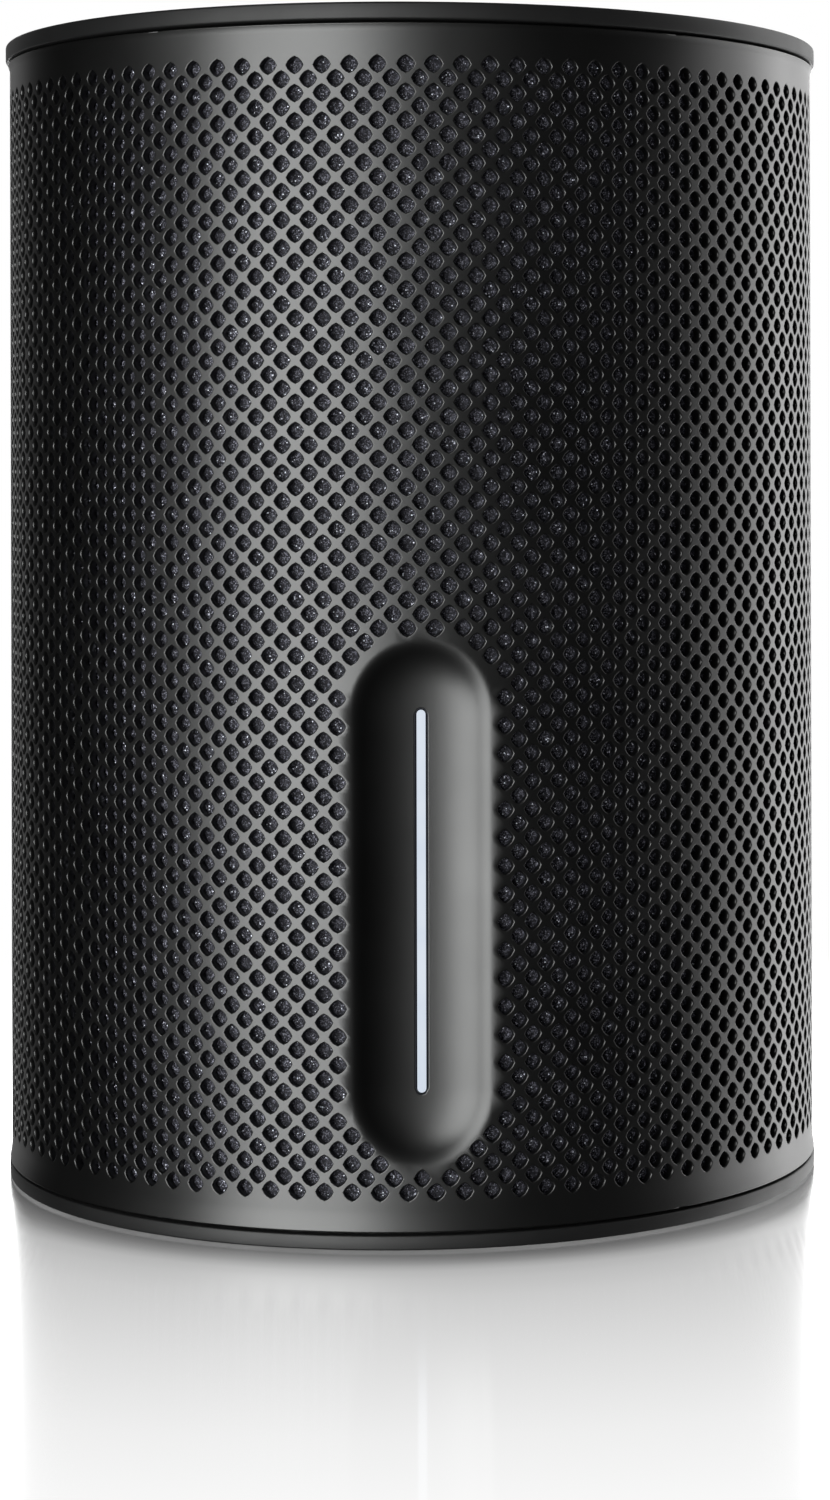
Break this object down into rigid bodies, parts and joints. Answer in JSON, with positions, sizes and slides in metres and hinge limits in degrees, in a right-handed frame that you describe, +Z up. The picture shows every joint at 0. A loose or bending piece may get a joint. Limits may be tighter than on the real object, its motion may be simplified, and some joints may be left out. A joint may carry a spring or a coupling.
{
  "type": "smart home hub",
  "caption": "Upright round hub with a perforated black shell, flat cap, and a lit bar in a finger-wide groove; speaker, radio board and rear ports inside.",
  "frame": {"origin": "on the table under the middle of the hub", "axes": "+Z up, -Y out of the front with the lit groove, +Y out of the back with the ports, +X to the right as seen from the front"},
  "size_m": [0.1212, 0.1212, 0.167],
  "materials": {
    "shell_black": "satin black powder coat on perforated metal",
    "cap_black": "fine matte black coat",
    "seal_foam": "closed-cell foam ring",
    "base_black": "fine matte black coat",
    "base_plastic": "moulded black plastic",
    "foot_rubber": "soft black rubber",
    "ballast_steel": "zinc plated steel",
    "sleeve_foam": "open-cell black foam with a faint sparkle",
    "frame_plastic": "glass-filled black plastic",
    "bar_diffuser": "opal diffuser, lit cool white",
    "carrier_plastic": "black plastic",
    "board_white": "white solder mask",
    "led_package": "moulded package with a yellow phosphor window",
    "ribbon_film": "amber film with copper tracks",
    "screw_steel": "blackened steel",
    "board_green": "green solder mask with tracks",
    "chip_black": "moulded epoxy",
    "thermal_grey": "soft grey pad",
    "sink_aluminium": "extruded aluminium",
    "can_tin": "tinned sheet steel",
    "part_grey": "moulded inductors and capacitor sleeves",
    "connector_nylon": "natural nylon",
    "port_steel": "tinned shield",
    "contact_gold": "gold flash",
    "panel_plastic": "fine textured black plastic",
    "switch_plastic": "moulded black plastic",
    "plunger_nylon": "natural nylon",
    "button_plastic": "dark grey plastic with a soft sheen",
    "board_blue": "blue laminate with a bare copper trace",
    "lead_grey": "thin grey coaxial jacket",
    "chamber_plastic": "moulded black plastic",
    "basket_steel": "stamped steel, black coat",
    "zinc_steel": "zinc plated steel",
    "magnet_ferrite": "sintered ferrite",
    "spider_cloth": "corrugated resin-dipped cloth",
    "coil_copper": "varnished copper wire on a kraft former",
    "cone_paper": "coated paper",
    "cap_paper": "pressed paper",
    "surround_rubber": "butyl rubber",
    "wire_pvc": "red and black insulation"
  },
  "bodies": {
    "hub": {"perforated_shell": "shell_black", "top_cap": "cap_black", "cap_seal": "seal_foam", "base_ring": "base_black", "base_plate": "base_plastic", "rubber_foot": "foot_rubber", "ballast_plate": "ballast_steel", "foam_sleeve": "sleeve_foam", "core_frame": "frame_plastic", "light_bar": "bar_diffuser", "light_carrier": "carrier_plastic", "led_board": "board_white", "status_leds": "led_package", "led_ribbon": "ribbon_film", "carrier_screws": "screw_steel", "main_board": "board_green", "processor": "chip_black", "thermal_pad": "thermal_grey", "heat_sink": "sink_aluminium", "memory_chips": "chip_black", "radio_chip": "chip_black", "radio_shield": "can_tin", "power_parts": "part_grey", "board_connector": "connector_nylon", "io_board": "board_green", "ethernet_jack": "port_steel", "ethernet_contacts": "contact_gold", "usb_port": "port_steel", "power_port": "port_steel", "connector_panel": "panel_plastic", "button_board": "board_green", "pair_switch": "switch_plastic", "reset_switch": "switch_plastic", "antenna_boards": "board_blue", "antenna_leads": "lead_grey", "speaker_enclosure": "chamber_plastic", "wire_grommet": "foot_rubber", "enclosure_seal": "seal_foam", "driver_baffle": "chamber_plastic", "driver_gasket": "seal_foam", "driver_basket": "basket_steel", "driver_top_plate": "zinc_steel", "driver_magnet": "magnet_ferrite", "driver_yoke": "zinc_steel", "spider": "spider_cloth", "cone_surround": "surround_rubber", "speaker_wires": "wire_pvc", "sound_deflector": "chamber_plastic", "top_frame": "frame_plastic", "microphone_board": "board_green", "microphones": "can_tin", "microphone_ribbon": "ribbon_film", "board_screws": "screw_steel", "frame_screws": "screw_steel"},
    "cone": {"voice_coil": "coil_copper", "speaker_cone": "cone_paper", "dust_cap": "cap_paper"},
    "pair_button": {"pair_button": "button_plastic", "pair_plunger": "plunger_nylon"},
    "reset_plunger": {"reset_plunger": "plunger_nylon"}
  },
  "joints": [
    {"name": "cone_stroke", "type": "slide", "parent": "hub", "child": "cone", "axis": [0, 0, 1], "range_m": [-0.002, 0.002], "stiffness_N_per_m": 900, "deforming": ["cone_surround", "spider"]},
    {"name": "pair_press", "type": "slide", "parent": "hub", "child": "pair_button", "axis": [0, -1, 0], "range_m": [0, 0.0005], "stiffness_N_per_m": 3000},
    {"name": "reset_press", "type": "slide", "parent": "hub", "child": "reset_plunger", "axis": [0, -1, 0], "range_m": [0, 0.0003], "stiffness_N_per_m": 3000}
  ]
}
